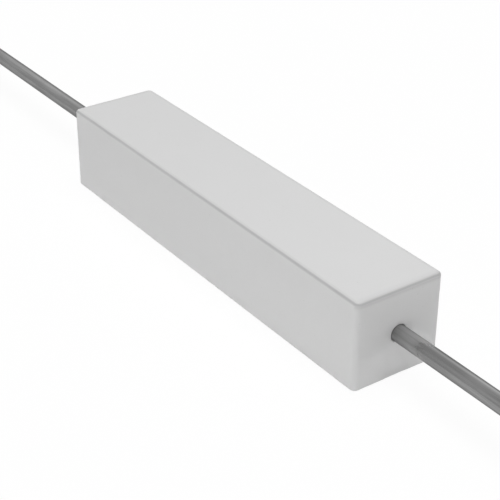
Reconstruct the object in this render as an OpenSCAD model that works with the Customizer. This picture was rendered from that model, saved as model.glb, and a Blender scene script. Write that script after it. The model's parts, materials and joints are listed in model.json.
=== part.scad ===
// Axial cement power resistor: a wire-wound core rod with welded caps and leads,
// laid in a pressed ceramic trough and potted flush with cement.
// X runs along the leads, Z is up, and the origin is the centre of the underside.

/* [Ceramic case] */
// Length of the case between its end faces
case_len = 47.6; // [44:0.2:60]
// Width of the case across its long sides
case_w = 9.5; // [9:0.1:12]
// Height of the case from its underside to its roof
case_h = 8.8; // [8.2:0.1:12]
// Thickness of the two long walls
side_wall = 1.2; // [0.9:0.05:1.6]
// Thickness of the two end walls
end_wall = 1.5; // [1:0.05:2.5]
// Thickness of the roof
roof_wall = 1.2; // [0.9:0.05:1.5]
// Radius of the upright corners, seen from above
corner_r = 0.55; // [0.4:0.05:0.9]
// Radius of the rounded edge around the roof
rim_r = 0.3; // [0.1:0.05:0.4]
// Radius of the rounded edge around the underside
foot_r = 0.2; // [0.1:0.05:0.35]
// Radius of the trough's upright inside corners
trough_corner_r = 0.8; // [0.5:0.05:1.2]
// Radius of the trough's inside edge under the roof
trough_roof_r = 0.4; // [0.2:0.05:0.5]

/* [Leads] */
// Diameter of the lead wires
lead_d = 1.63; // [0.8:0.01:2]
// Length of each lead outside the case
lead_len = 38; // [20:0.5:60]
// Bevel that the cutter leaves on each lead's tip
tip_bevel = 0.15; // [0.05:0.05:0.3]
// How far the welded head of a lead stands out around the wire
head_flare = 0.3; // [0.2:0.05:0.6]
// Room for cement beside a lead's head in the slot of the end wall
slot_room = 0.2; // [0.1:0.05:0.5]
// Width of the gap that the shrinking cement opens around a lead at the end face
exit_gap = 0.05; // [0.02:0.01:0.25]
// Depth at which that gap has closed
exit_depth = 0.25; // [0.1:0.05:0.9]

/* [Resistance element] */
// Diameter of the ceramic core rod
core_d = 3.8; // [3:0.1:4.4]
// Sheet thickness of the pressed caps
cap_wall = 0.35; // [0.25:0.05:0.5]
// Length of each cap's skirt along the core
cap_skirt = 4; // [3:0.1:6]
// Cement between each cap and the end wall
cap_cover = 1.2; // [0.6:0.1:3]
// Diameter of the resistance wire
wire_d = 0.35; // [0.25:0.05:0.5]
// Number of turns on the bare core
turns = 24; // [12:1:40]
// Stretch of the core on which the wire climbs to the height of a cap
climb_len = 1.2; // [0.8:0.1:2]
// Stretch of a cap that the welded tail of the wire covers
tail_len = 1; // [0.5:0.1:2]

/* [Fits] */
// Radial gap between the core and its caps
cap_fit = 0.02; // [0.01:0.01:0.05]
// Radial gap under the wire
wire_fit = 0.01; // [0.01:0.01:0.05]
// Shrinkage gap of the cement around the element and the leads
potting_gap = 0.02; // [0.01:0.01:0.1]

/* [Hidden] */
$fn = 96;
// Corners of the wire's section and stations along one turn
wire_sides = 6;
turn_steps = 18;
// Overshoot of a cut past the face that it opens
cut_over = 1;

axis_z = case_h / 2;
end_x = case_len / 2;
head_d = lead_d + 2 * head_flare;
slot_w = head_d + 2 * slot_room;

// Stations of the element, measured from the middle of the case
cap_x = end_x - end_wall - cap_cover;
core_end_x = cap_x - cap_wall;
skirt_x = core_end_x - cap_skirt;
coil_x = skirt_x - climb_len;
tail_x = skirt_x + tail_len;
pitch = 2 * coil_x / turns;

// Radii of the element
core_r = core_d / 2;
wire_r = wire_d / 2;
cap_r = core_r + cap_fit + cap_wall;
coil_r = seat_r(core_r);
tail_r = seat_r(cap_r);

// Radius of the wire's centre line, so that its straight stretches clear the round seat under it
function seat_r(seat) = (seat + wire_fit + wire_r) / cos(180 / turn_steps);
// Smooth rise from 0 to 1
function ease(t) = t <= 0 ? 0 : t >= 1 ? 1 : t * t * (3 - 2 * t);
// Height of the wire's centre line over the axis: low on the core, high on the caps
function wire_height(x) =
    coil_r + (tail_r - coil_r) * ease((abs(x) - coil_x) / (climb_len - wire_d));
function unit(v) = v / norm(v);
// Radius of a lead's root, which narrows from its weld on the cap to the end face
function root_r(x) = lead_d / 2 + head_flare * (end_x - x) / (end_x - cap_x);

// Corners of the wire's section at one station of the helix
function wire_ring(x) =
    let (
        turn = 360 * x / pitch,
        height = wire_height(x),
        out = [0, cos(turn), sin(turn)],
        ahead = unit([pitch / (2 * PI), -height * sin(turn), height * cos(turn)]),
        across = cross(ahead, out)
    )
    [for (k = [0:wire_sides - 1])
        let (a = 360 * k / wire_sides)
        [x, 0, 0] + height * out + wire_r * (cos(a) * out + sin(a) * across)];

// Closed tube over a row of rings with the same number of corners
module tube_over(rings) {
    n = len(rings[0]);
    last = len(rings) - 1;
    start_face = [for (k = [0:n - 1]) k];
    end_face = [for (k = [n - 1:-1:0]) last * n + k];
    side_faces = [
        for (i = [0:last - 1], k = [0:n - 1])
            let (a = i * n + k, b = i * n + (k + 1) % n)
            each [[a, a + n, b], [b, a + n, b + n]]
    ];
    polyhedron([for (ring = rings) each ring], concat([start_face, end_face], side_faces));
}

// What the corner of a square loses when it is rounded to radius r
module corner_waste(r) {
    difference() {
        square(r + cut_over);
        circle(r);
    }
}

// Upright section from the start of an edge's rounding to the outer face
module edge_section(reach, h, top_r, base_r) {
    difference() {
        square([reach, h]);
        translate([reach - top_r, h - top_r])
            corner_waste(top_r);
        if (base_r > 0)
            translate([reach - base_r, base_r])
                mirror([0, 1])
                    corner_waste(base_r);
    }
}

// Block on the plane Z = 0 whose rounded edges roll around its upright corners
module rounded_block(l, w, h, plan_r, top_r, base_r) {
    reach = max(plan_r, top_r, base_r);
    flat_l = l - 2 * reach;
    flat_w = w - 2 * reach;
    translate([-flat_l / 2, -flat_w / 2, 0])
        cube([flat_l, flat_w, h]);
    for (turn = [0, 180])
        rotate([0, 0, turn]) {
            translate([flat_l / 2, flat_w / 2, 0])
                rotate([90, 0, 0])
                    linear_extrude(flat_w)
                        edge_section(reach, h, top_r, base_r);
            translate([-flat_l / 2, flat_w / 2, 0])
                rotate([90, 0, 90])
                    linear_extrude(flat_l)
                        edge_section(reach, h, top_r, base_r);
            translate([flat_l / 2, flat_w / 2, 0])
                rotate_extrude(angle = 90)
                    edge_section(reach, h, top_r, base_r);
            translate([-flat_l / 2, flat_w / 2, 0])
                rotate([0, 0, 90])
                    rotate_extrude(angle = 90)
                        edge_section(reach, h, top_r, base_r);
        }
}

// Outside of the case, which the cement is struck flush with
module case_block() {
    rounded_block(case_len, case_w, case_h, corner_r, rim_r, foot_r);
}

// Space inside the case; slack eases its rounded corners and leaves its flat walls in place
module trough(slack = 0) {
    translate([0, 0, -cut_over])
        rounded_block(
            case_len - 2 * end_wall, case_w - 2 * side_wall, case_h - roof_wall + cut_over,
            trough_corner_r + slack, trough_roof_r + slack, 0
        );
}

// Slots in the end walls through which the leads are laid in, round at the top
module lead_slots(slack = 0) {
    translate([-end_x - cut_over, 0, axis_z - slack])
        rotate([90, 0, 90])
            linear_extrude(case_len + 2 * cut_over) {
                circle(d = slot_w);
                translate([-slot_w / 2, -axis_z - cut_over])
                    square([slot_w, axis_z + cut_over]);
            }
}

// Places a shape drawn along Z on the axis of the leads
module on_axis() {
    translate([0, 0, axis_z])
        rotate([0, 90, 0])
            children();
}

// Room for one half of the element and its lead: coil, tail, cap, flared root and gap at the end face
module element_room() {
    coil_bore = coil_r + wire_r + potting_gap;
    tail_bore = tail_r + wire_r + potting_gap;
    cap_bore = cap_r + potting_gap;
    wire_room = wire_r + potting_gap;
    on_axis()
        rotate_extrude()
            polygon([
                [0, 0],
                [coil_bore, 0],
                [coil_bore, coil_x - wire_room],
                [tail_bore, coil_x - wire_room],
                [tail_bore, tail_x + wire_room],
                [cap_bore, tail_x + wire_room],
                [cap_bore, cap_x + potting_gap],
                [head_d / 2 + potting_gap, cap_x + potting_gap],
                [root_r(end_x - exit_depth) + potting_gap, end_x - exit_depth],
                [lead_d / 2 + exit_gap, end_x],
                [lead_d / 2 + exit_gap, end_x + cut_over],
                [0, end_x + cut_over]
            ]);
}

module ceramic_case() {
    color([0.86, 0.86, 0.86])
        difference() {
            case_block();
            trough();
            lead_slots();
        }
}

module cement_fill() {
    color([0.82, 0.82, 0.81])
        difference() {
            intersection() {
                case_block();
                union() {
                    trough(potting_gap);
                    lead_slots(potting_gap);
                }
            }
            element_room();
            mirror([1, 0, 0])
                element_room();
        }
}

module core_rod() {
    color([0.9, 0.88, 0.82])
        on_axis()
            cylinder(h = 2 * core_end_x, r = core_r, center = true);
}

module resistance_winding() {
    step = pitch / turn_steps;
    steps = ceil(2 * tail_x / step);
    color([0.42, 0.4, 0.38])
        translate([0, 0, axis_z])
            tube_over([for (i = [0:steps]) wire_ring(-tail_x + 2 * tail_x * i / steps)]);
}

// Drawn cup over the end of the core, its face on the core and its skirt around it
module end_cap() {
    on_axis()
        rotate_extrude()
            difference() {
                translate([0, skirt_x])
                    square([cap_r, cap_x - skirt_x]);
                translate([0, skirt_x - cut_over])
                    square([cap_r - cap_wall, core_end_x - skirt_x + cut_over]);
                translate([cap_r - cap_wall, cap_x - cap_wall])
                    corner_waste(cap_wall);
            }
}

module end_cap_left() {
    color([0.66, 0.66, 0.68])
        mirror([1, 0, 0])
            end_cap();
}

module end_cap_right() {
    color([0.66, 0.66, 0.68])
        end_cap();
}

// Lead whose root flares to the weld on the cap and is straight outside the case
module lead() {
    lead_r = lead_d / 2;
    tip_x = end_x + lead_len;
    on_axis()
        rotate_extrude()
            polygon([
                [0, cap_x],
                [head_d / 2, cap_x],
                [lead_r, end_x],
                [lead_r, tip_x - tip_bevel],
                [lead_r - tip_bevel, tip_x],
                [0, tip_x]
            ]);
}

module lead_left() {
    color([0.52, 0.52, 0.53])
        mirror([1, 0, 0])
            lead();
}

module lead_right() {
    color([0.52, 0.52, 0.53])
        lead();
}

ceramic_case();
cement_fill();
core_rod();
resistance_winding();
end_cap_left();
end_cap_right();
lead_left();
lead_right();
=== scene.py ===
# %% [markdown]
# # A cement power resistor
# The real part is a wire-wound rod that lies in a white ceramic trough. Cement fills the trough, and one
# thick tinned lead leaves the middle of each end. The CAD model gives every size and place. Blender gives the
# looks: soft pressed edges, the grain of the ceramic, the struck cement and the satin wire.

# %% Load the CAD frame
import bmesh
import bpy
import json
import math
from mathutils import Matrix, Vector, noise


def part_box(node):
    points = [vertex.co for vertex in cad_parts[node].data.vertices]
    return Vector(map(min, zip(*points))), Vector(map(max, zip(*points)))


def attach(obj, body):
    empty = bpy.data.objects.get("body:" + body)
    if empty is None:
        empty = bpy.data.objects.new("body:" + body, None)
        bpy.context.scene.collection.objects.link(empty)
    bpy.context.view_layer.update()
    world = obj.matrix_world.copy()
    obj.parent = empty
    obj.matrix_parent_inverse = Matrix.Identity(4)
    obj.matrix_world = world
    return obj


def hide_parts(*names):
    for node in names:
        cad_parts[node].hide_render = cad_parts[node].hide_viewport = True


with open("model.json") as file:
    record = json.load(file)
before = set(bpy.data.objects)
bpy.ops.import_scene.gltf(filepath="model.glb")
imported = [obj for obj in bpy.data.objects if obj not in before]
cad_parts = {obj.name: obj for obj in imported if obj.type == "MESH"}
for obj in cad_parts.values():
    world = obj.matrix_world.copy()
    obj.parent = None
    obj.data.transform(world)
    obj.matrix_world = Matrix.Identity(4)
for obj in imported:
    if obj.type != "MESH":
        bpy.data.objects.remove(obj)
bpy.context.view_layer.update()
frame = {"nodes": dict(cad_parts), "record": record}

scene = bpy.context.scene
scene.view_settings.view_transform = "Standard"
print("CAD nodes:", sorted(frame["nodes"]))

# %% [markdown]
# ## Sizes
# All pieces follow the CAD, so the sizes are read from the boxes of its nodes. What no box shows, such as a
# radius or a wall, is repeated from the CAD where it is needed. Modelling in millimetres keeps the numbers
# easy to read; each mesh is scaled to metres once, when its piece is finished.

# %% Read the sizes in millimetres
MM = 0.001


def box_mm(node):
    low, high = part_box(node)
    return low / MM, high / MM


case_low, case_high = box_mm("ceramic_case")
fill_low, fill_high = box_mm("cement_fill")
lead_high = box_mm("lead_right")[1]
case_size = case_high - case_low
case_centre = (case_low + case_high) / 2
AXIS_Z = case_centre.z
END_X = case_high.x
ROOF_Z = case_high.z
LEAD_R = next(m["dims"]["r_mm"] for m in frame["record"]["mounts"] if m["name"] == "lead_right")
HEAD_R = lead_high.y
TIP_X = lead_high.x
print("case", [round(v, 3) for v in case_size], "lead axis at height", round(AXIS_Z, 3))
print("lead radius", LEAD_R, "root radius", round(HEAD_R, 3))

# %% [markdown]
# ## Camera
# The photograph looks down on one corner of the block with a long lens. A fit of the block's edges gave the
# angles and the place below. A camera could also track a target, but that would lose the slight roll of the
# picture, so it is set from its own three axes.

# %% Work out the camera's axes
AZIMUTH = math.radians(54.47)
ELEVATION = math.radians(30.077)
ROLL = math.radians(0.396)

back = Vector((
    math.sin(AZIMUTH) * math.cos(ELEVATION),
    -math.cos(AZIMUTH) * math.cos(ELEVATION),
    math.sin(ELEVATION),
))
level_right = Vector((0, 0, 1)).cross(back).normalized()
level_up = back.cross(level_right)
right = level_right * math.cos(ROLL) + level_up * math.sin(ROLL)
up = level_up * math.cos(ROLL) - level_right * math.sin(ROLL)
print("camera looks along", [round(-v, 3) for v in back])

# %% Place the camera
CAMERA_FROM_CASE = Vector((97.133, -68.035, 65.536))
FOCAL_LENGTH = 100
FILM_WIDTH = 36
NEAREST = 0.005
FARTHEST = 20

pose = Matrix((right, up, back)).transposed().to_4x4()
pose.translation = (case_centre + CAMERA_FROM_CASE) * MM
lens = bpy.data.cameras.new("camera")
lens.lens = FOCAL_LENGTH
lens.sensor_width = FILM_WIDTH
lens.clip_start = NEAREST
lens.clip_end = FARTHEST
camera = bpy.data.objects.new("camera", lens)
camera.matrix_world = pose
scene.collection.objects.link(camera)
scene.camera = camera
print("camera at", [round(v / MM, 1) for v in pose.translation], "mm")

# %% [markdown]
# ## Nodes in short
# A material is a small net of nodes. These helpers write one node per call and return its output socket, so
# that a finish below reads like a formula. An input may be a number or another socket.

# %% Helpers for numbers
def feed(tree, socket, value):
    if isinstance(value, bpy.types.NodeSocket):
        tree.links.new(value, socket)
    else:
        socket.default_value = value


def calc(tree, operation, a, b=0.0):
    node = tree.nodes.new("ShaderNodeMath")
    node.operation = operation
    feed(tree, node.inputs[0], a)
    feed(tree, node.inputs[1], b)
    return node.outputs[0]


def soft_step(tree, value, low, high, to_low=0.0, to_high=1.0):
    """A smooth ramp: to_low for a value up to low, to_high from high on."""
    node = tree.nodes.new("ShaderNodeMapRange")
    node.interpolation_type = "SMOOTHSTEP"
    feed(tree, node.inputs["Value"], value)
    feed(tree, node.inputs["From Min"], low)
    feed(tree, node.inputs["From Max"], high)
    feed(tree, node.inputs["To Min"], to_low)
    feed(tree, node.inputs["To Max"], to_high)
    return node.outputs["Result"]


def xyz(tree, place):
    node = tree.nodes.new("ShaderNodeSeparateXYZ")
    tree.links.new(place, node.inputs[0])
    return node.outputs["X"], node.outputs["Y"], node.outputs["Z"]


print("number helpers:", [helper.__name__ for helper in (feed, calc, soft_step, xyz)])

# %% Helpers for colours
def grey(value, warm=0.0):
    return (value + warm, value, value - warm, 1.0)


def blend_colour(tree, share, a, b):
    node = tree.nodes.new("ShaderNodeMix")
    node.data_type = "RGBA"
    feed(tree, node.inputs["Factor"], share)
    feed(tree, node.inputs["A"], a)
    feed(tree, node.inputs["B"], b)
    return node.outputs["Result"]


print("mid grey is", grey(0.5), "and a warm one", grey(0.5, 0.01))

# %% [markdown]
# ## Table
# The part stands on a plain white table. White paper would still look grey under soft light, and more light
# would burn out the pale case, so the camera and the metal see the table as almost plain white. A little of
# its real shading is kept, and with it the soft shadow of the part.

# %% Lay the table
FLOOR_DROP = 0.02 * MM
FLOOR_RADIUS = 3.0
FLOOR_SIDES = 64

floor_bm = bmesh.new()
bmesh.ops.create_circle(floor_bm, cap_ends=True, segments=FLOOR_SIDES, radius=FLOOR_RADIUS)
bmesh.ops.translate(floor_bm, vec=(0, 0, -FLOOR_DROP), verts=floor_bm.verts)
floor_mesh = bpy.data.meshes.new("floor")
floor_bm.to_mesh(floor_mesh)
floor_bm.free()
floor = bpy.data.objects.new("floor", floor_mesh)
scene.collection.objects.link(floor)
print("floor radius", FLOOR_RADIUS, "m")

# %% Mix the white of the table
FLOOR_WHITE = 0.94
PLAIN_SHARE = 0.94
FLOOR_MIRROR = 0.92
SHOWN = ("Is Camera Ray", "Is Glossy Ray", "Is Transmission Ray")


def shown_rays(tree, *kinds):
    path = tree.nodes.new("ShaderNodeLightPath")
    share = 0.0
    for kind in kinds:
        share = calc(tree, "MAXIMUM", path.outputs[kind], share)
    return share


def mix_shaders(tree, share, lighting, shown, output):
    mixed = tree.nodes.new("ShaderNodeMixShader")
    tree.links.new(share, mixed.inputs[0])
    tree.links.new(lighting.outputs[0], mixed.inputs[1])
    tree.links.new(shown.outputs[0], mixed.inputs[2])
    tree.links.new(mixed.outputs[0], tree.nodes.new(output).inputs["Surface"])


table = bpy.data.materials.new("white_table")
table.use_nodes = True
tree = table.node_tree
tree.nodes.clear()
paper = tree.nodes.new("ShaderNodeBsdfDiffuse")
paper.inputs["Color"].default_value = grey(FLOOR_WHITE)
plain = tree.nodes.new("ShaderNodeEmission")
plain.inputs["Color"].default_value = grey(1.0)
in_mirror = shown_rays(tree, "Is Glossy Ray")
tree.links.new(soft_step(tree, in_mirror, 0.0, 1.0, 1.0, FLOOR_MIRROR), plain.inputs["Strength"])
plain_rays = calc(tree, "MULTIPLY", shown_rays(tree, *SHOWN), PLAIN_SHARE)
mix_shaders(tree, plain_rays, paper, plain, "ShaderNodeOutputMaterial")
floor.data.materials.append(table)
print("table finish:", len(tree.nodes), "nodes")

# %% [markdown]
# ## Light of the room
# The matte block is lit by a white cove, which is much brighter at the horizon than overhead and a little
# dimmer in front of the near end. That gives the roof, the long side and the end three different greys. An
# image of a studio could do the same, but a few nodes need no file and are easy to adjust.

# %% Light the cove
HORIZON_LIGHT = 2.25
OVERHEAD_LIGHT = 0.255
COVE_TOP = 0.45
END_SHADE = 0.71

world = bpy.data.worlds.new("studio")
scene.world = world
world.use_nodes = True
tree = world.node_tree
tree.nodes.clear()
direction = tree.nodes.new("ShaderNodeTexCoord")
way_x, way_y, way_z = xyz(tree, direction.outputs["Generated"])
cove = tree.nodes.new("ShaderNodeBackground")
cove_light = soft_step(tree, way_z, 0.0, COVE_TOP, HORIZON_LIGHT, OVERHEAD_LIGHT)
end_side = soft_step(tree, way_x, 0.0, 1.0, 1.0, END_SHADE)
tree.links.new(calc(tree, "MULTIPLY", cove_light, end_side), cove.inputs["Strength"])
print("cove light", HORIZON_LIGHT, "at the horizon,", OVERHEAD_LIGHT, "overhead")

# %% [markdown]
# Metal shows what stands around it, and in an even cove the leads would be one flat grey. So reflections see
# a room of their own: a bright wall behind the part, darker near the floor, less so towards the far end, and
# a slightly dimmer ceiling. On a round wire the edges of these areas become fine lines that run along it.

# %% Paint the room that the metal mirrors
MIRROR_LIGHT = 0.80
MIRROR_BACKDROP = 1.21
BACKDROP_EDGES = (0.50, 0.82)
LOW_WALL_FRONT = 0.15
LOW_WALL_BEHIND = 0.48
LOW_WALL_EDGES = (0.60, 0.95)
LOW_WALL_HEIGHTS = (0.16, 0.44)
LOW_WALL_FAR = 0.55
FAR_EDGES = (-0.82, -0.66)
CEILING_SHADE = 0.82
CEILING_HEIGHTS = (0.60, 0.71)
BACKDROP_WAY = Vector((-back.x, -back.y, 0)).normalized()

behind = calc(tree, "MULTIPLY", way_x, BACKDROP_WAY.x)
behind = calc(tree, "ADD", behind, calc(tree, "MULTIPLY", way_y, BACKDROP_WAY.y))
wall = soft_step(tree, behind, *BACKDROP_EDGES, MIRROR_LIGHT, MIRROR_BACKDROP)
low_wall = soft_step(tree, behind, *LOW_WALL_EDGES, LOW_WALL_FRONT, LOW_WALL_BEHIND)
low_wall = calc(tree, "MULTIPLY", low_wall, soft_step(tree, way_x, *FAR_EDGES, LOW_WALL_FAR, 1.0))
low_wall = soft_step(tree, way_z, *LOW_WALL_HEIGHTS, low_wall, 0.0)
ceiling = soft_step(tree, way_z, *CEILING_HEIGHTS, 1.0, CEILING_SHADE)
mirrored = calc(tree, "MULTIPLY", wall, calc(tree, "SUBTRACT", ceiling, low_wall))
print("mirrored wall", MIRROR_BACKDROP, "behind,", MIRROR_LIGHT, "in front")

# %% Join the rooms by the kind of ray
backdrop = tree.nodes.new("ShaderNodeBackground")
backdrop.inputs["Color"].default_value = grey(1.0)
strength = tree.nodes.new("ShaderNodeMix")
feed(tree, strength.inputs["Factor"], shown_rays(tree, "Is Camera Ray"))
feed(tree, strength.inputs["A"], mirrored)
feed(tree, strength.inputs["B"], 1.0)
tree.links.new(strength.outputs["Result"], backdrop.inputs["Strength"])
mix_shaders(tree, shown_rays(tree, *SHOWN), cove, backdrop, "ShaderNodeOutputWorld")
print("world:", len(tree.nodes), "nodes")

# %% [markdown]
# ## Softboxes
# A large softbox overhead lights the roof, and a weak one in front lifts the long side. A brighter cove
# would lift all faces at once. Both lamps are hidden from the camera and from reflections, so that no square
# shows in the wire.

# %% Hang the softboxes
ABOVE_PLACE = (0.04, -0.02, 0.62)
ABOVE_SIDE = 0.45
ABOVE_POWER = 3.13
FRONT_PLACE = (-0.05, -0.85, 0.40)
FRONT_SIDE = 0.50
FRONT_POWER = 0.256


def softbox(name, place, side, power):
    lamp = bpy.data.lights.new(name, "AREA")
    lamp.shape = "SQUARE"
    lamp.size = side
    lamp.energy = power
    box = bpy.data.objects.new(name, lamp)
    box.location = place
    box.rotation_mode = "QUATERNION"
    box.rotation_quaternion = Vector(place).to_track_quat("Z", "Y")
    box.visible_camera = False
    box.visible_glossy = False
    scene.collection.objects.link(box)


softbox("softbox_above", ABOVE_PLACE, ABOVE_SIDE, ABOVE_POWER)
softbox("softbox_front", FRONT_PLACE, FRONT_SIDE, FRONT_POWER)

# %% [markdown]
# ## From bmesh to piece
# Every piece starts as a bmesh. Its doubles are merged and its normals turned outwards, and where it is
# hollow, other bodies are cut out of it. Of the Boolean solvers the manifold one is used, because it gives
# the same mesh on each run.

# %% Helpers that make and cut a body
MERGE_GAP = 1e-5


def as_object(name, bm):
    bmesh.ops.remove_doubles(bm, verts=bm.verts, dist=MERGE_GAP)
    bmesh.ops.recalc_face_normals(bm, faces=bm.faces)
    mesh = bpy.data.meshes.new(name)
    bm.to_mesh(mesh)
    bm.free()
    made = bpy.data.objects.new(name, mesh)
    scene.collection.objects.link(made)
    return made


def carve(body, steps):
    for operation, tool in steps:
        cut = body.modifiers.new(operation.lower(), "BOOLEAN")
        cut.operation = operation
        cut.solver = "MANIFOLD"
        cut.object = tool
    shapes = bpy.context.evaluated_depsgraph_get()
    carved = bpy.data.meshes.new_from_object(body.evaluated_get(shapes))
    body.modifiers.clear()
    body.data = carved


def discard(*tools):
    for tool in tools:
        bpy.data.objects.remove(tool)


print("points closer than", MERGE_GAP, "mm are merged")

# %% [markdown]
# A finished piece is scaled to metres and stays at the origin, where the CAD nodes are too. Smooth shading
# with sharp edges above an angle, and normals weighted by face area, keep the big faces flat right up to
# their rounded edges. The count of open edges tells at once if a cut has left a hole.

# %% Helpers that finish a piece
SHARP_ANGLE = math.radians(35)


def open_edges(mesh):
    bm = bmesh.new()
    bm.from_mesh(mesh)
    count = sum(not edge.is_manifold for edge in bm.edges)
    bm.free()
    return count


def finish_piece(piece, finish, node):
    mesh = piece.data
    mesh.transform(Matrix.Scale(MM, 4))
    mesh.shade_smooth()
    mesh.set_sharp_from_angle(angle=SHARP_ANGLE)
    weighted = piece.modifiers.new("flat_faces", "WEIGHTED_NORMAL")
    weighted.keep_sharp = True
    mesh.materials.clear()
    mesh.materials.append(finish)
    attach(piece, "root")
    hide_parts(node)
    print(piece.name, len(mesh.polygons), "faces,", open_edges(mesh), "open edges")


print("edges sharper than", round(math.degrees(SHARP_ANGLE)), "degrees stay sharp")

# %% [markdown]
# ## Pressed ceramic
# The case is pressed from ceramic powder and fired without glaze. It is matte and almost even, with a fine
# grain, a faint cloudiness and a few pinholes. Its tone is painted a little lighter towards the near end and
# towards its foot: painted light, which stands in for how the light falls along the case and makes up for the
# shade near the table. An image of ceramic would need a map and could show seams, so noise makes all of it.
# The patterns read Object coordinates, here in millimetres, and so stay fixed to the piece.

# %% Helpers for patterns
def new_finish(name):
    finish = bpy.data.materials.new(name)
    finish.use_nodes = True
    return finish, finish.node_tree, finish.node_tree.nodes["Principled BSDF"]


def place_mm(tree, stretch=(1.0, 1.0, 1.0)):
    coordinates = tree.nodes.new("ShaderNodeTexCoord")
    mapping = tree.nodes.new("ShaderNodeMapping")
    mapping.inputs["Scale"].default_value = Vector(stretch) / MM
    tree.links.new(coordinates.outputs["Object"], mapping.inputs["Vector"])
    return mapping.outputs["Vector"]


def grain(tree, place, scale, detail=2.0, roughness=0.5):
    node = tree.nodes.new("ShaderNodeTexNoise")
    node.inputs["Scale"].default_value = scale
    node.inputs["Detail"].default_value = detail
    node.inputs["Roughness"].default_value = roughness
    tree.links.new(place, node.inputs["Vector"])
    return node.outputs["Fac"]


def cells(tree, place, scale):
    node = tree.nodes.new("ShaderNodeTexVoronoi")
    node.inputs["Scale"].default_value = scale
    tree.links.new(place, node.inputs["Vector"])
    return node.outputs["Distance"]


def relief(tree, shader, height, distance, strength):
    node = tree.nodes.new("ShaderNodeBump")
    node.inputs["Strength"].default_value = strength
    node.inputs["Distance"].default_value = distance
    tree.links.new(height, node.inputs["Height"])
    tree.links.new(node.outputs["Normal"], shader.inputs["Normal"])


print("pattern helpers:", [helper.__name__ for helper in (place_mm, grain, cells, relief)])

# %% Tone of the pressed body
CASE_GREY = 0.669
PAINTED_LIGHT_DRIFT = 0.016
FOOT_PAINTED_LIGHT = 0.028
FOOT_LIGHT_HEIGHT = 2.5
CLOUD_SCALE = 0.30
CLOUD_DETAIL = 4.0
SPECKLE_SCALE = 5.0
SPECKLE_DETAIL = 3.0
SPECKLE_ROUGH = 0.6
MOTTLE_SHARE = 0.12
MOTTLE_DARK = 0.12
PINHOLE_SCALE = 0.9
PINHOLE_EDGES = (0.03, 0.07)
PINHOLE_SHADE_SHARE = 0.20
PINHOLE_SHADE_GREY = 0.35
PINHOLE_DEPTH = 1.5


def pressed_tone(tree, place):
    """Colour, speckle and surface height of the pressed body."""
    x, _, z = xyz(tree, place)
    clouds = grain(tree, place, CLOUD_SCALE, CLOUD_DETAIL)
    speckle = grain(tree, place, SPECKLE_SCALE, SPECKLE_DETAIL, SPECKLE_ROUGH)
    # Pinholes are painted dark grey, as painted shade inside them, and dented by the bump.
    pinhole = soft_step(tree, cells(tree, place, PINHOLE_SCALE), *PINHOLE_EDGES, 1.0, 0.0)
    # Painted light: the body is painted lighter towards the near end and towards its foot.
    painted_light_drift = soft_step(tree, x, -END_X, END_X)
    foot = soft_step(tree, z, 0.0, FOOT_LIGHT_HEIGHT, 1.0, 0.0)
    tone = blend_colour(tree, painted_light_drift, grey(CASE_GREY - PAINTED_LIGHT_DRIFT), grey(CASE_GREY + PAINTED_LIGHT_DRIFT))
    tone = blend_colour(tree, foot, tone, grey(CASE_GREY + FOOT_PAINTED_LIGHT))
    for pattern in (clouds, speckle):
        mottle = calc(tree, "MULTIPLY", pattern, MOTTLE_SHARE)
        tone = blend_colour(tree, mottle, tone, grey(CASE_GREY - MOTTLE_DARK))
    tone = blend_colour(tree, calc(tree, "MULTIPLY", pinhole, PINHOLE_SHADE_SHARE), tone, grey(PINHOLE_SHADE_GREY))
    surface = calc(tree, "SUBTRACT", speckle, calc(tree, "MULTIPLY", pinhole, PINHOLE_DEPTH))
    return tone, speckle, surface


print("ceramic grey", CASE_GREY, "and up to", FOOT_PAINTED_LIGHT, "paler at the foot")

# %% [markdown]
# The rims are worn smooth by the press and by handling. A soft dark line of painted shade runs along them.
# An edge mask from the mesh would follow its facets, so the nodes work out how far a point lies from the
# rounded outline of the block and from the roof instead, and darken only the points that are near both.

# %% Helpers for the painted shade on the rims
PLAN_R = 0.55
RIM_R = 0.30
FOOT_R = 0.20


def outline_depth(tree, place):
    """How far a point lies inside the upright walls, how far from the middle of the case, and how high."""
    x, y, z = xyz(tree, place)
    along = calc(tree, "ABSOLUTE", x)
    past_x = calc(tree, "SUBTRACT", along, case_size.x / 2 - PLAN_R)
    past_y = calc(tree, "SUBTRACT", calc(tree, "ABSOLUTE", y), case_size.y / 2 - PLAN_R)
    round_x = calc(tree, "POWER", calc(tree, "MAXIMUM", past_x, 0.0), 2.0)
    round_y = calc(tree, "POWER", calc(tree, "MAXIMUM", past_y, 0.0), 2.0)
    corner = calc(tree, "SQRT", calc(tree, "ADD", round_x, round_y))
    inside = calc(tree, "MINIMUM", calc(tree, "MAXIMUM", past_x, past_y), 0.0)
    return calc(tree, "SUBTRACT", PLAN_R, calc(tree, "ADD", corner, inside)), along, z


def rim_shade_mask(tree, depth, height_left, radius):
    """1 in the middle of a rounded rim, 0 where it meets the flat faces."""
    from_wall = calc(tree, "SUBTRACT", radius, depth)
    from_face = calc(tree, "SUBTRACT", radius, height_left)
    nearest = calc(tree, "MINIMUM", from_wall, from_face)
    return soft_step(tree, nearest, 0.0, radius * math.sqrt(0.5))


print("rims: upright", PLAN_R, "roof", RIM_R, "foot", FOOT_R, "mm")

# %% Helpers for the bands of painted shade beside the rims
END_RIM_SHADE_WIDTH = 0.60
ROOF_SHADE_WIDTH = 0.55
ROOF_SHADE_SHARE = 0.20
ROOF_END_SHADE_WIDTH = 1.0
ROOF_END_SHADE_SHARE = 0.16


def end_rim_shade(tree, along, height_left):
    """A wider band of painted shade over the rims of the two ends."""
    inside = calc(tree, "SUBTRACT", case_size.x / 2, along)
    return rim_shade_mask(tree, inside, height_left, END_RIM_SHADE_WIDTH)


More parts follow.
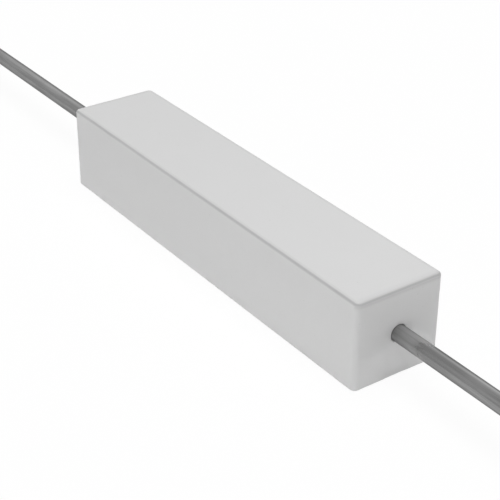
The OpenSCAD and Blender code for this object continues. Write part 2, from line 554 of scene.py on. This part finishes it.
def roof_shade_band(tree, depth, along, height_left):
    """A faint band of painted shade on the flat roof just inside its rim, wider at the two ends."""
    at_rim = soft_step(tree, depth, RIM_R, ROOF_SHADE_WIDTH, ROOF_SHADE_SHARE, 0.0)
    inside = calc(tree, "SUBTRACT", case_size.x / 2, along)
    at_end = soft_step(tree, inside, RIM_R, ROOF_END_SHADE_WIDTH, ROOF_END_SHADE_SHARE, 0.0)
    on_roof = soft_step(tree, height_left, 0.0, RIM_R / 2, 1.0, 0.0)
    return calc(tree, "MULTIPLY", calc(tree, "MAXIMUM", at_rim, at_end), on_roof)


print("painted shade bands: ends", END_RIM_SHADE_WIDTH, "roof", ROOF_SHADE_WIDTH, "mm")

# %% Mix the ceramic finish
RIM_SHADE_GREY = 0.43
END_RIM_SHADE_SHARE = 0.42
FOOT_SHADE_SHARE = 0.20
NOISE_SPAN = (0.3, 0.7)
CASE_ROUGH = (0.55, 0.68)
MATTE_SPECULAR = 0.2
GRAIN_HEIGHT = 0.012 * MM
GRAIN_STRENGTH = 0.6

ceramic, tree, shader = new_finish("pressed_ceramic")
place = place_mm(tree)
depth, along, height = outline_depth(tree, place)
below_roof = calc(tree, "SUBTRACT", ROOF_Z, height)
# Painted shade along the roof rims, the end rims and the foot, gathered in line.
roof_shade_line = rim_shade_mask(tree, depth, below_roof, RIM_R)
end_shade_line = calc(tree, "MULTIPLY", end_rim_shade(tree, along, below_roof), END_RIM_SHADE_SHARE)
foot_shade_line = calc(tree, "MULTIPLY", rim_shade_mask(tree, depth, height, FOOT_R), FOOT_SHADE_SHARE)
line = calc(tree, "MAXIMUM", roof_shade_line, roof_shade_band(tree, depth, along, below_roof))
line = calc(tree, "MAXIMUM", calc(tree, "MAXIMUM", line, end_shade_line), foot_shade_line)
body, speckle, surface = pressed_tone(tree, place)
body = blend_colour(tree, line, body, grey(RIM_SHADE_GREY))
tree.links.new(body, shader.inputs["Base Color"])
tree.links.new(soft_step(tree, speckle, *NOISE_SPAN, *CASE_ROUGH), shader.inputs["Roughness"])
shader.inputs["Specular IOR Level"].default_value = MATTE_SPECULAR
relief(tree, shader, surface, GRAIN_HEIGHT, GRAIN_STRENGTH)
print("ceramic finish:", len(tree.nodes), "nodes")

# %% [markdown]
# ## Ceramic case
# The trough is one pressed piece: a block with rounded edges, hollow from below, with a slot in each end wall
# through which the leads are laid in. Insetting and pushing the underside inwards would give the hollow but
# not the round slots. So the block and the hollow are bevelled from cubes, the slots are pulled down from a
# cylinder, and hollow and slots are cut out of the block.

# %% Helpers for rounded blocks
ROUND_STEPS = 10
TOUCH = 1e-4


def bevel(bm, edges, radius):
    bmesh.ops.bevel(
        bm, geom=edges, offset=radius, offset_type="OFFSET", segments=ROUND_STEPS,
        profile=0.5, affect="EDGES", material=-1,
    )


def rounded_block(low, high, plan_r, top_r, foot_r):
    bm = bmesh.new()
    bmesh.ops.create_cube(bm, size=1.0)
    bmesh.ops.scale(bm, vec=high - low, verts=bm.verts)
    bmesh.ops.translate(bm, vec=(low + high) / 2, verts=bm.verts)
    bevel(bm, [e for e in bm.edges if abs(e.verts[0].co.z - e.verts[1].co.z) > TOUCH], plan_r)
    bevel(bm, [e for e in bm.edges if min(v.co.z for v in e.verts) > high.z - TOUCH], top_r)
    if foot_r > 0:
        bevel(bm, [e for e in bm.edges if max(v.co.z for v in e.verts) < low.z + TOUCH], foot_r)
    return bm


print("rounded edges have", ROUND_STEPS, "steps")

# %% Shape the block and the hollow
CUT_OVER = 1.0
END_WALL = 1.5
TROUGH_PLAN_R = 0.8
TROUGH_ROOF_R = 0.4


def outer_block(name):
    return as_object(name, rounded_block(case_low, case_high, PLAN_R, RIM_R, FOOT_R))


def trough_block(name):
    low = Vector((END_WALL - END_X, fill_low.y, -CUT_OVER))
    high = Vector((END_X - END_WALL, fill_high.y, fill_high.z))
    return as_object(name, rounded_block(low, high, TROUGH_PLAN_R, TROUGH_ROOF_R, 0))


case = outer_block("case_shell")
trough = trough_block("trough_tool")
print("block", len(case.data.vertices), "points, hollow", len(trough.data.vertices), "points")

# %% Shape the slots
SLOT_ROOM = 0.2
SLOT_STEPS = 96
SLOT_R = HEAD_R + SLOT_ROOM


def slot_block(name):
    """A lying cylinder whose lower half is pulled down to straight sides, through both ends."""
    bm = bmesh.new()
    bmesh.ops.create_cone(
        bm, cap_ends=True, segments=SLOT_STEPS, radius1=SLOT_R, radius2=SLOT_R,
        depth=case_size.x + 2 * CUT_OVER,
    )
    bmesh.ops.rotate(bm, matrix=Matrix.Rotation(math.pi / 2, 3, "Y"), verts=bm.verts)
    halved = bmesh.ops.bisect_plane(
        bm, geom=bm.verts[:] + bm.edges[:] + bm.faces[:],
        plane_co=(0, 0, 0), plane_no=(0, 0, 1), clear_inner=True,
    )
    rim = [e for e in halved["geom_cut"] if isinstance(e, bmesh.types.BMEdge)]
    grown = bmesh.ops.extrude_edge_only(bm, edges=rim)
    low = [v for v in grown["geom"] if isinstance(v, bmesh.types.BMVert)]
    bmesh.ops.translate(bm, vec=(0, 0, -AXIS_Z - CUT_OVER), verts=low)
    bmesh.ops.holes_fill(bm, edges=bm.edges)
    bmesh.ops.translate(bm, vec=(0, 0, AXIS_Z), verts=bm.verts)
    return as_object(name, bm)


slots = slot_block("slot_tool")
print("slots are", round(2 * SLOT_R, 2), "mm wide")

# %% Cut the case
carve(case, [("DIFFERENCE", trough), ("DIFFERENCE", slots)])
finish_piece(case, ceramic, "ceramic_case")

# %% [markdown]
# ## Potting cement
# Cement is poured into the upturned trough over the wound rod, levelled with the rim and left to set. It
# fills the two slots flush with the end faces, where it looks like the case, but a touch paler to make up
# for the shadow of the lead. On the open side it is duller and rougher, with the long marks of the blade.
# Two materials could share the mesh, but a blend by height and by depth behind the outline shows no seam.

# %% Tone of the cement
CEMENT_GREY = 0.645
STRUCK_DARK = 0.12
STRUCK_PALE = 0.03
SAND_DARK = 0.16
DARK_WARM = 0.006
PALE_WARM = 0.004
SAND_SCALE = 7.0
SAND_DETAIL = 3.0
SAND_ROUGH = 0.65
SAND_SPAN = (0.35, 0.65)
MARK_STRETCH = (0.12, 1.6, 1.0)
MARK_SCALE = 1.6
MARK_DETAIL = 3.0

cement, tree, shader = new_finish("struck_cement")
place = place_mm(tree)
sand = grain(tree, place, SAND_SCALE, SAND_DETAIL, SAND_ROUGH)
marks = grain(tree, place_mm(tree, MARK_STRETCH), MARK_SCALE, MARK_DETAIL)
dark = grey(CEMENT_GREY - STRUCK_DARK, DARK_WARM)
pale = grey(CEMENT_GREY + STRUCK_PALE, PALE_WARM)
sandy = grey(CEMENT_GREY - SAND_DARK, DARK_WARM)
struck = blend_colour(tree, marks, dark, pale)
struck = blend_colour(tree, soft_step(tree, sand, *SAND_SPAN), sandy, struck)
print("cement grey", CEMENT_GREY, "with blade marks stretched", MARK_STRETCH)

# %% Tone of the cement in the slots
SLOT_PALE = 0.19
SLOT_PALE_R = 0.2

across = calc(tree, "ABSOLUTE", xyz(tree, place)[1])
depth, _, height = outline_depth(tree, place)
flush, speckle, surface = pressed_tone(tree, place)
in_slot = soft_step(tree, across, SLOT_PALE_R, SLOT_R, SLOT_PALE, 0.0)
below_lead = soft_step(tree, height, AXIS_Z - HEAD_R, AXIS_Z + HEAD_R, 1.0, 0.0)
flush = blend_colour(tree, calc(tree, "MULTIPLY", in_slot, below_lead), flush, grey(1.0))
print("cement in the slots up to", SLOT_PALE, "towards white")

# %% Mix the cement finish
OPEN_HEIGHTS = (0.30, 0.60)
OPEN_DEPTHS = (0.20, 0.35)
CEMENT_ROUGH = (0.58, 0.70)
SAND_HEIGHT = 3.0

open_side = soft_step(tree, height, *OPEN_HEIGHTS, 1.0, 0.0)
open_side = calc(tree, "MULTIPLY", open_side, soft_step(tree, depth, *OPEN_DEPTHS))
# Painted shade along the foot rim, as on the case.
foot_shade_line = calc(tree, "MULTIPLY", rim_shade_mask(tree, depth, height, FOOT_R), FOOT_SHADE_SHARE)
body = blend_colour(tree, open_side, flush, struck)
body = blend_colour(tree, foot_shade_line, body, grey(RIM_SHADE_GREY))
tree.links.new(body, shader.inputs["Base Color"])
tree.links.new(soft_step(tree, speckle, *NOISE_SPAN, *CEMENT_ROUGH), shader.inputs["Roughness"])
shader.inputs["Specular IOR Level"].default_value = MATTE_SPECULAR
raised = calc(tree, "MULTIPLY", calc(tree, "MULTIPLY", sand, open_side), SAND_HEIGHT)
relief(tree, shader, calc(tree, "ADD", surface, raised), GRAIN_HEIGHT, GRAIN_STRENGTH)
print("cement finish:", len(tree.nodes), "nodes")

# %% [markdown]
# Seen from below, the cement sinks a little between the walls, carries blade marks and shows small burst
# bubbles. The open side is a fine grid whose points are pushed up by that much. Its squares are split into
# flat triangles first, because a bent square leaves slivers in a cut. Raised to a slab, the grid trims the
# cement from below.

# %% Places of the burst bubbles
PITS = 46
PIT_STEP = 3.7
PIT_SEED = (1.3, 7.9)
PIT_R = 0.18
PIT_R_MORE = 0.30
PIT_END_ROOM = 4.0
PIT_SIDE_ROOM = 0.8


def pit_list():
    """Places and radii of the burst bubbles, spread by a fixed noise."""
    length = case_size.x - PIT_END_ROOM
    width = fill_high.y - fill_low.y - PIT_SIDE_ROOM
    spots = [noise.cell_vector((i * PIT_STEP, *PIT_SEED)) for i in range(PITS)]
    return [((s.x - 0.5) * length, (s.y - 0.5) * width, PIT_R + PIT_R_MORE * s.z ** 2) for s in spots]


pits = pit_list()
print(len(pits), "pits, radius up to", round(max(r for _, _, r in pits), 2), "mm")

# %% Height of the open side
DISH = 0.10
DISH_POWER = 0.7
BLADE_MARK = 0.035
BLADE_STRETCH = (0.12, 1.9)
BLADE_SEED = 4.2
SAND_MARK = 0.015
SAND_FINE = 2.3
SAND_SEED = 9.1
PIT_DEPTH = 0.16
EDGE_FADE = 0.35
EDGE_LIFT = 0.004


def open_height(x, y):
    sink = DISH * max(0.0, 1 - (y / fill_high.y) ** 2) ** DISH_POWER
    blade_place = (x * BLADE_STRETCH[0], y * BLADE_STRETCH[1], BLADE_SEED)
    blade = BLADE_MARK * (0.5 + 0.5 * noise.noise(blade_place))
    sand = SAND_MARK * (0.5 + 0.5 * noise.noise((x * SAND_FINE, y * SAND_FINE, SAND_SEED)))
    pit = max(PIT_DEPTH * max(0.0, 1 - ((x - px) ** 2 + (y - py) ** 2) / r ** 2) for px, py, r in pits)
    edge = min(1.0, max(0.0, (fill_high.y - abs(y)) / EDGE_FADE))
    return EDGE_LIFT + edge * (sink + blade + sand + pit)


print("middle of the open side lies", round(open_height(0, 0), 3), "mm deep")

# %% Shape the open side
GRID_STEP = 0.22
GRID_OVER = 0.4


def open_side_block(name):
    bm = bmesh.new()
    steps_x = round(case_size.x / GRID_STEP)
    steps_y = round(case_size.y / GRID_STEP)
    bmesh.ops.create_grid(bm, x_segments=steps_x, y_segments=steps_y, size=0.5)
    bmesh.ops.scale(bm, vec=(case_size.x + GRID_OVER, case_size.y + GRID_OVER, 1), verts=bm.verts)
    for v in bm.verts:
        v.co.z = open_height(v.co.x, v.co.y)
    bmesh.ops.triangulate(bm, faces=bm.faces)
    lifted = bmesh.ops.extrude_face_region(bm, geom=bm.faces[:], use_keep_orig=True)
    top = [v for v in lifted["geom"] if isinstance(v, bmesh.types.BMVert)]
    bmesh.ops.translate(bm, vec=(0, 0, ROOF_Z + CUT_OVER), verts=top)
    return as_object(name, bm)


slab = open_side_block("open_side_tool")
print("open side slab:", len(slab.data.polygons), "faces")

# %% [markdown]
# Inside, the cement leaves room for the wound rod, its caps and the roots of the leads: a body of revolution,
# spun from half of its outline. The radii come from the CAD nodes themselves: the widest point of each one,
# measured from the axis of the leads.

# %% Measure the winding
COIL_SLACK = 0.02


def axis_points(node):
    """Station and distance from the axis of the leads, in millimetres, of each point of a CAD node."""
    points = [v.co / MM for v in frame["nodes"][node].data.vertices]
    return [(p.x, math.hypot(p.y, p.z - AXIS_Z)) for p in points]


winding = axis_points("resistance_winding")
wind_end = box_mm("resistance_winding")[1].x
cap_high = box_mm("end_cap_right")[1]
COIL_R = max(r for x, r in winding if 0 <= x <= wind_end / 2)
CLIMB_X = max(x for x, r in winding if r < COIL_R - COIL_SLACK)
TAIL_R = max(r for x, r in winding if CLIMB_X <= x <= wind_end)
print("coil radius", round(COIL_R, 3), "tails", round(TAIL_R, 3), "caps from", round(CLIMB_X, 2), "mm")

# %% Shape the room for the element
SPIN_STEPS = 72
ROOM_GAP = 0.02
CLIMB_ROOM = 2.0
EXIT_GAP = 0.05
EXIT_DEPTH = 0.25


def spun(bm, profile):
    """A body of revolution around the axis of the leads, from points of station and radius."""
    ring = [bm.verts.new((x, 0, AXIS_Z + r)) for x, r in profile]
    line = [bm.edges.new(pair) for pair in zip(ring, ring[1:])]
    bmesh.ops.spin(
        bm, geom=ring + line, cent=(0, 0, AXIS_Z), axis=(1, 0, 0), dvec=(0, 0, 0),
        angle=2 * math.pi, steps=SPIN_STEPS, use_merge=True, use_duplicate=False,
    )
    return bm


def element_room(name):
    root_r = LEAD_R + (HEAD_R - LEAD_R) * EXIT_DEPTH / (END_X - cap_high.x)
    half = [
        (CLIMB_X - CLIMB_ROOM, COIL_R + ROOM_GAP),
        (CLIMB_X - CLIMB_ROOM, TAIL_R + ROOM_GAP),
        (wind_end + ROOM_GAP, TAIL_R + ROOM_GAP),
        (wind_end + ROOM_GAP, cap_high.y + ROOM_GAP),
        (cap_high.x + ROOM_GAP, cap_high.y + ROOM_GAP),
        (cap_high.x + ROOM_GAP, HEAD_R + ROOM_GAP),
        (END_X - EXIT_DEPTH, root_r + ROOM_GAP),
        (END_X, LEAD_R + EXIT_GAP),
        (END_X + CUT_OVER, LEAD_R + EXIT_GAP),
        (END_X + CUT_OVER, 0),
    ]
    profile = [(-x, r) for x, r in reversed(half)] + half
    return as_object(name, spun(bmesh.new(), profile))


hollow = element_room("room_tool")
print("room for the element:", len(hollow.data.polygons), "faces")

# %% Put the cement together
fill = trough_block("cement_body")
hull = outer_block("hull_tool")
carve(fill, [("UNION", slots), ("INTERSECT", hull), ("INTERSECT", slab), ("DIFFERENCE", hollow)])
finish_piece(fill, cement, "cement_fill")
discard(trough, slots, slab, hull, hollow)

# %% [markdown]
# ## Tinned leads
# The leads are drawn copper wire dipped in tin: satin grey, with fine lines along the wire from the drawing
# die, a little uneven where the tin ran, painted darker towards the case as painted shade, and bare copper
# at the cut tip. Noise that is stretched along the wire gives lines and runs without any image.

# %% Tone of the tin
TIN_GREY = 0.312
TIN_SPREAD = 0.04
LINE_STRETCH = (0.05, 1.0, 1.0)
LINE_SCALE = 4.0
LINE_DETAIL = 3.0
LINE_ROUGH = 0.6
RUN_STRETCH = (0.35, 1.0, 1.0)
RUN_SCALE = 0.9
RUN_DETAIL = 3.0
RUN_SPAN = (0.4, 0.7)
RUN_SHARE = 0.4
RUN_DARK = 0.05


def drawn_grey(tree, lines, value, spread):
    """A grey that lightens and darkens with the lines of the drawing die."""
    return blend_colour(tree, soft_step(tree, lines, *NOISE_SPAN), grey(value - spread), grey(value + spread))


tin, tree, shader = new_finish("tinned_wire")
place = place_mm(tree)
lines = grain(tree, place_mm(tree, LINE_STRETCH), LINE_SCALE, LINE_DETAIL, LINE_ROUGH)
runs = grain(tree, place_mm(tree, RUN_STRETCH), RUN_SCALE, RUN_DETAIL)
bare = drawn_grey(tree, lines, TIN_GREY, TIN_SPREAD)
bare = blend_colour(tree, soft_step(tree, runs, *RUN_SPAN, 0.0, RUN_SHARE), bare, grey(TIN_GREY - RUN_DARK))
print("tin grey", TIN_GREY, "with lines of plus and minus", TIN_SPREAD)

# %% [markdown]
# The first millimetres outside the case carry a thin haze of cement. It ends in ragged tongues and lies a
# little askew on the wire. Along its top and its sides it is painted paler, as painted highlight. The product
# of Y and the height above the axis serves for both: it is zero on top and at the sides, and has opposite
# signs on the two diagonals between them. A painted mask would do as well, but it would need its own map on
# the wire.

# %% Reach of the cement haze
HAZE_END = 3.60
HAZE_SOFT = 0.80
HAZE_RUN = 0.70
RAGGED = 1.8
TONGUE_STRETCH = (0.45, 1.0, 1.0)
TONGUE_SCALE = 2.2
TONGUE_DETAIL = 4.0
TONGUE_ROUGH = 0.6

x, y, z = xyz(tree, place)
station = calc(tree, "SUBTRACT", calc(tree, "ABSOLUTE", x), END_X)
diagonal = calc(tree, "MULTIPLY", y, calc(tree, "SUBTRACT", z, AXIS_Z))
tongues = grain(tree, place_mm(tree, TONGUE_STRETCH), TONGUE_SCALE, TONGUE_DETAIL, TONGUE_ROUGH)
tongues = calc(tree, "MULTIPLY", calc(tree, "SUBTRACT", tongues, 0.5), 2 * RAGGED)
ragged = calc(tree, "SUBTRACT", station, tongues)
ragged = calc(tree, "SUBTRACT", ragged, calc(tree, "MULTIPLY", diagonal, 2 * HAZE_RUN / LEAD_R ** 2))
haze = soft_step(tree, ragged, HAZE_END - HAZE_SOFT, HAZE_END + HAZE_SOFT, 1.0, 0.0)
print("haze ends", HAZE_END, "mm from the case, give or take", RAGGED)

# %% Tone of the haze and the root, with painted highlight and painted shade
HAZE_GREY = 0.27
HAZE_SPREAD = 0.03
HAZE_HIGHLIGHT = 0.07
HIGHLIGHT_TRACK_END = 0.55
CASE_SHADE_END = 12.0
CASE_SHADE_SHARE = 0.6
CASE_SHADE_DARK = 0.08
ROOT_SHADE_GREY = 0.10
ROOT_SHADE_SHARE = 0.30
ROOT_SHADE_STATIONS = (-0.1, 2.4)

# Painted highlight: the haze is painted paler along its top and its sides.
off_highlight_track = calc(tree, "POWER", calc(tree, "MULTIPLY", diagonal, 2 / LEAD_R ** 2), 2.0)
streaks = drawn_grey(tree, lines, HAZE_GREY, HAZE_SPREAD)
highlight_tracks = drawn_grey(tree, lines, HAZE_GREY + HAZE_HIGHLIGHT, HAZE_SPREAD)
streaks = blend_colour(tree, soft_step(tree, off_highlight_track, 0.0, HIGHLIGHT_TRACK_END), highlight_tracks, streaks)
# Painted shade: the wire is painted darker towards the case.
case_shade = soft_step(tree, station, HAZE_END, CASE_SHADE_END, CASE_SHADE_SHARE, 0.0)
# Painted shade on the root of the lead, where it leaves the case.
root_shade = soft_step(tree, station, *ROOT_SHADE_STATIONS, ROOT_SHADE_SHARE, 0.0)
wire = blend_colour(tree, case_shade, bare, grey(TIN_GREY - CASE_SHADE_DARK))
wire = blend_colour(tree, haze, wire, streaks)
wire = blend_colour(tree, root_shade, wire, grey(ROOT_SHADE_GREY))
print("haze grey", HAZE_GREY, "on its tracks", round(HAZE_GREY + HAZE_HIGHLIGHT, 2))

# %% Mix the tinned wire finish
COPPER = (0.46, 0.26, 0.16, 1.0)
CUT_EDGES = (0.05, 0.01)
EDGE_TINT = 0.46
TIN_ROUGH = (0.16, 0.22)
HAZE_ROUGH = 0.20
HAZE_METAL = 0.45
LINE_HEIGHT = 0.004 * MM
LINE_STRENGTH = 0.5

wire_length = TIP_X - END_X
cut = soft_step(tree, station, wire_length - CUT_EDGES[0], wire_length - CUT_EDGES[1])
tree.links.new(blend_colour(tree, cut, wire, COPPER), shader.inputs["Base Color"])
tree.links.new(soft_step(tree, haze, 0.0, 1.0, 1.0, HAZE_METAL), shader.inputs["Metallic"])
shader.inputs["Specular Tint"].default_value = grey(EDGE_TINT)
rough = soft_step(tree, runs, *NOISE_SPAN, *TIN_ROUGH)
rough = calc(tree, "ADD", rough, calc(tree, "MULTIPLY", haze, HAZE_ROUGH))
tree.links.new(rough, shader.inputs["Roughness"])
relief(tree, shader, lines, LINE_HEIGHT, LINE_STRENGTH)
print("tin finish:", len(tree.nodes), "nodes")

# %% [markdown]
# A lead is a straight wire whose root flares to the weld on the cap, with a small bevel at the cut tip. A
# curve with a round bevel would make the wire too, but a spun outline also gives the flare and the tip in one
# go.

# %% Draw the leads
TIP_BEVEL = 0.15


def lead_wire(name, side):
    bm = spun(bmesh.new(), [
        (cap_high.x, 0),
        (cap_high.x, HEAD_R),
        (END_X, LEAD_R),
        (TIP_X - TIP_BEVEL, LEAD_R),
        (TIP_X, LEAD_R - TIP_BEVEL),
        (TIP_X, 0),
    ])
    bmesh.ops.scale(bm, vec=(side, 1, 1), verts=bm.verts)
    return as_object(name, bm)


for hand, side in (("left", -1), ("right", 1)):
    finish_piece(lead_wire("lead_wire_" + hand, side), tin, "lead_" + hand)

# %% [markdown]
# ## The hidden element
# The rod, its winding and the caps keep their CAD shapes, since the cement hides them and new meshes would
# show nothing more. They still get a finish each, for a reader who takes the part apart: chalky ceramic, dull
# alloy wire and pressed tinned steel.

# %% Finish the rod
ROD_DARK = (0.69, 0.65, 0.56, 1.0)
ROD_PALE = (0.75, 0.72, 0.64, 1.0)
ROD_CLOUDS = (1.2, 4.0)
ROD_GRAIN = (9.0, 3.0)
ROD_ROUGH = 0.7
ROD_HEIGHT = 0.01 * MM


def dress(node, finish):
    for slot in frame["nodes"][node].material_slots:
        slot.material = finish
    print(node, "wears", finish.name)


rod, tree, shader = new_finish("rod_ceramic")
place = place_mm(tree)
body = blend_colour(tree, grain(tree, place, *ROD_CLOUDS), ROD_DARK, ROD_PALE)
tree.links.new(body, shader.inputs["Base Color"])
shader.inputs["Roughness"].default_value = ROD_ROUGH
relief(tree, shader, grain(tree, place, *ROD_GRAIN), ROD_HEIGHT, GRAIN_STRENGTH)
dress("core_rod", rod)

# %% Finish the winding and the caps
ALLOY_TONES = ((0.26, 0.24, 0.22, 1.0), (0.34, 0.31, 0.28, 1.0))
ALLOY_CLOUDS = (2.5, 3.0)
ALLOY_GRAIN = 6.0
ALLOY_ROUGH = (0.34, 0.50)
STEEL_TONES = (grey(0.50), grey(0.60))
STEEL_CLOUDS = (5.0, 3.0)
STEEL_GRAIN = 3.0
STEEL_ROUGH = (0.28, 0.42)
STEEL_STRETCH = (0.2, 1.0, 1.0)


def dull_metal(name, tones, clouds, grain_scale, rough_range, stretch=(1.0, 1.0, 1.0)):
    finish, tree, shader = new_finish(name)
    place = place_mm(tree, stretch)
    tree.links.new(blend_colour(tree, grain(tree, place, *clouds), *tones), shader.inputs["Base Color"])
    shader.inputs["Metallic"].default_value = 1.0
    rough = soft_step(tree, grain(tree, place, grain_scale), *NOISE_SPAN, *rough_range)
    tree.links.new(rough, shader.inputs["Roughness"])
    return finish


alloy = dull_metal("alloy_wire", ALLOY_TONES, ALLOY_CLOUDS, ALLOY_GRAIN, ALLOY_ROUGH)
steel = dull_metal("cap_steel", STEEL_TONES, STEEL_CLOUDS, STEEL_GRAIN, STEEL_ROUGH, STEEL_STRETCH)
dress("resistance_winding", alloy)
dress("end_cap_left", steel)
dress("end_cap_right", steel)
